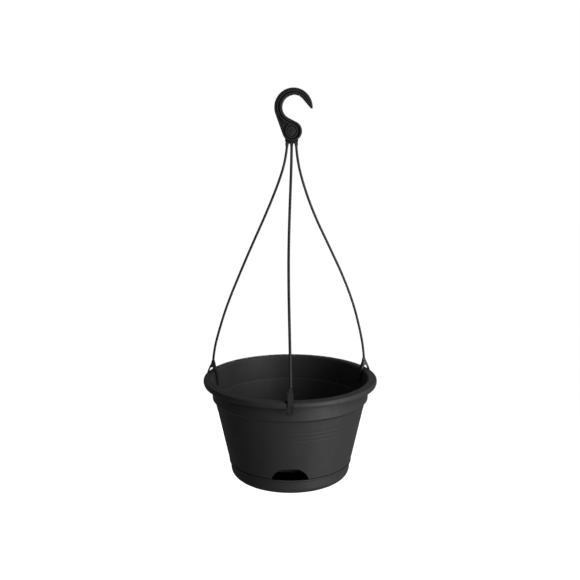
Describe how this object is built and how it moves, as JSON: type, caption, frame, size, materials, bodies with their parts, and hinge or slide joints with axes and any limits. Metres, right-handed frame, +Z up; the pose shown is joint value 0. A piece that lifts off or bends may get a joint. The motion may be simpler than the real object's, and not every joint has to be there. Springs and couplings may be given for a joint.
{
  "type": "hanging basket",
  "caption": "Self-watering round hanging basket with a water tray, three bowed strands clipped over the rim and a swinging hook.",
  "frame": {"origin": "seat inside the hook, straight above the pot's axis, where the basket hangs", "axes": "+Z up along the pot's axis, -Y to the front with the watering mouth, +X to the right, where the hook opens"},
  "size_m": [0.28, 0.2814, 0.6174],
  "materials": {
    "pot_plastic": "matte moulded polypropylene, anthracite",
    "hook_plastic": "satin moulded polypropylene, black",
    "strand_plastic": "satin moulded polypropylene, dark grey"
  },
  "bodies": {
    "hook": {"hook": "hook_plastic"},
    "hanger": {"hanger_hub": "strand_plastic", "pivot_pin": "hook_plastic", "strand_front": "strand_plastic", "strand_left": "strand_plastic", "strand_right": "strand_plastic"},
    "basket": {"pot": "pot_plastic", "rim_clip_front": "strand_plastic", "rim_clip_left": "strand_plastic", "rim_clip_right": "strand_plastic"},
    "tray": {"water_tray": "pot_plastic"}
  },
  "joints": [
    {"name": "hook_swing", "type": "hinge", "parent": "hook", "child": "hanger", "pos_m": [0.0022, 0, -0.05253], "axis": [0, 1, 0], "range_deg": [-90, 90]},
    {"name": "basket_turn", "type": "hinge", "parent": "hanger", "child": "basket", "pos_m": [0, 0, -0.42313], "axis": [0, 0, 1], "range_deg": [-30, 30], "deforming": ["strand_front", "strand_left", "strand_right"]},
    {"name": "tray_release", "type": "slide", "parent": "basket", "child": "tray", "axis": [0, 0, -1], "range_m": [0, 0.06]}
  ]
}
